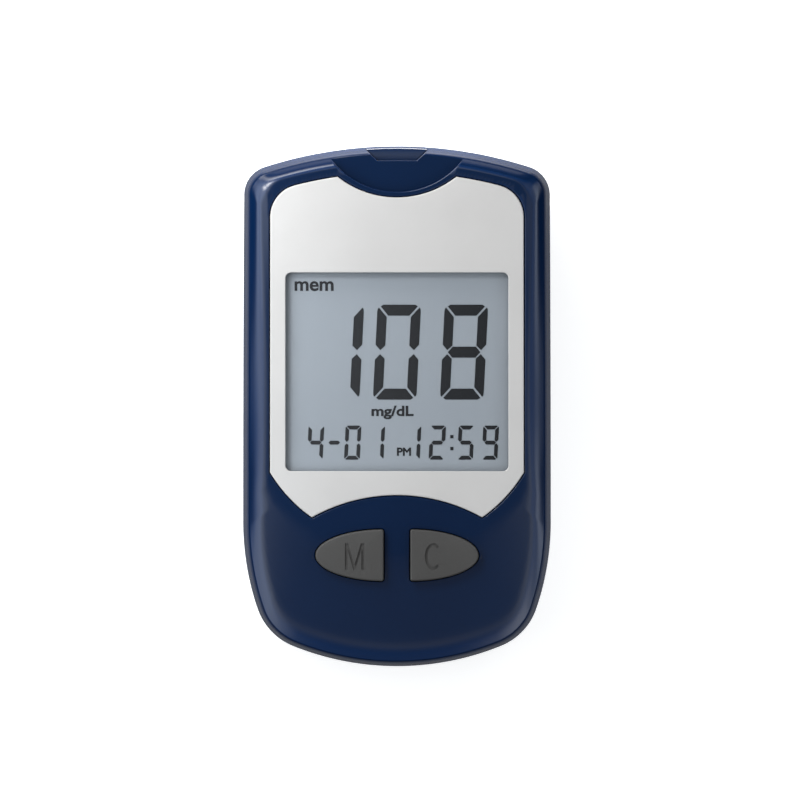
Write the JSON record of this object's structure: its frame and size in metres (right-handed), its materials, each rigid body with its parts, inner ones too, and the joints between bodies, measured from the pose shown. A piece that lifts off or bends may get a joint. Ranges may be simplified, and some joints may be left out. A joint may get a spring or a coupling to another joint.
{
  "type": "blood glucose meter",
  "caption": "Handheld blood glucose meter: navy case, silver faceplate round a display, half-ellipse keys, strip port at the end and a sliding battery door in the back.",
  "frame": {"origin": "middle of the meter's footprint, on the surface that its back lies on", "axes": "+Z out of the display, +Y towards the end where the test strip goes in, +X to the display's right"},
  "size_m": [0.0568, 0.096, 0.0233],
  "materials": {
    "case_navy": "satin moulded plastic",
    "faceplate_silver": "fine satin silver",
    "key_grey": "matt",
    "window_clear": "clear",
    "display_glass": "clear",
    "display_film": "satin",
    "tray_white": "matt",
    "strip_rubber": "matt",
    "board_green": "solder resist",
    "chip_black": "matt",
    "contact_gold": "plated",
    "spring_steel": "bright",
    "cell_jacket": null
  },
  "bodies": {
    "case": {"front_shell": "case_navy", "rear_shell": "case_navy", "strip_port": "case_navy", "faceplate": "faceplate_silver", "window_lens": "window_clear", "display_front_film": "display_film", "display_front_glass": "display_glass", "display_rear_glass": "display_glass", "display_reflector": "display_film", "display_tray": "tray_white", "contact_strip_end": "strip_rubber", "contact_strip_heel": "strip_rubber", "circuit_board": "board_green", "main_chip": "chip_black", "signal_chip": "chip_black", "clock_crystal": "spring_steel", "buzzer": "chip_black", "strip_socket": "chip_black", "strip_contact_1": "contact_gold", "strip_contact_2": "contact_gold", "strip_contact_3": "contact_gold", "strip_contact_4": "contact_gold", "left_switch_body": "chip_black", "right_switch_body": "chip_black", "left_battery": "cell_jacket", "right_battery": "cell_jacket", "left_battery_spring": "spring_steel", "right_battery_spring": "spring_steel", "left_battery_contact": "spring_steel", "right_battery_contact": "spring_steel", "battery_bridge_contact": "spring_steel", "case_screw_end_left": "spring_steel", "case_screw_end_right": "spring_steel", "case_screw_heel_left": "spring_steel", "case_screw_heel_right": "spring_steel"},
    "door": {"battery_door": "case_navy"},
    "left_key": {"left_button": "key_grey", "left_switch_plunger": "chip_black"},
    "right_key": {"right_button": "key_grey", "right_switch_plunger": "chip_black"}
  },
  "joints": [
    {"name": "door_slide", "type": "slide", "parent": "case", "child": "door", "axis": [0, -1, 0], "range_m": [0, 0.064]},
    {"name": "left_key_press", "type": "slide", "parent": "case", "child": "left_key", "axis": [0, 0, -1], "range_m": [0, 0.0005], "stiffness_N_per_m": 1500, "springref_m": -0.0002},
    {"name": "right_key_press", "type": "slide", "parent": "case", "child": "right_key", "axis": [0, 0, -1], "range_m": [0, 0.0005], "stiffness_N_per_m": 1500, "springref_m": -0.0002}
  ]
}
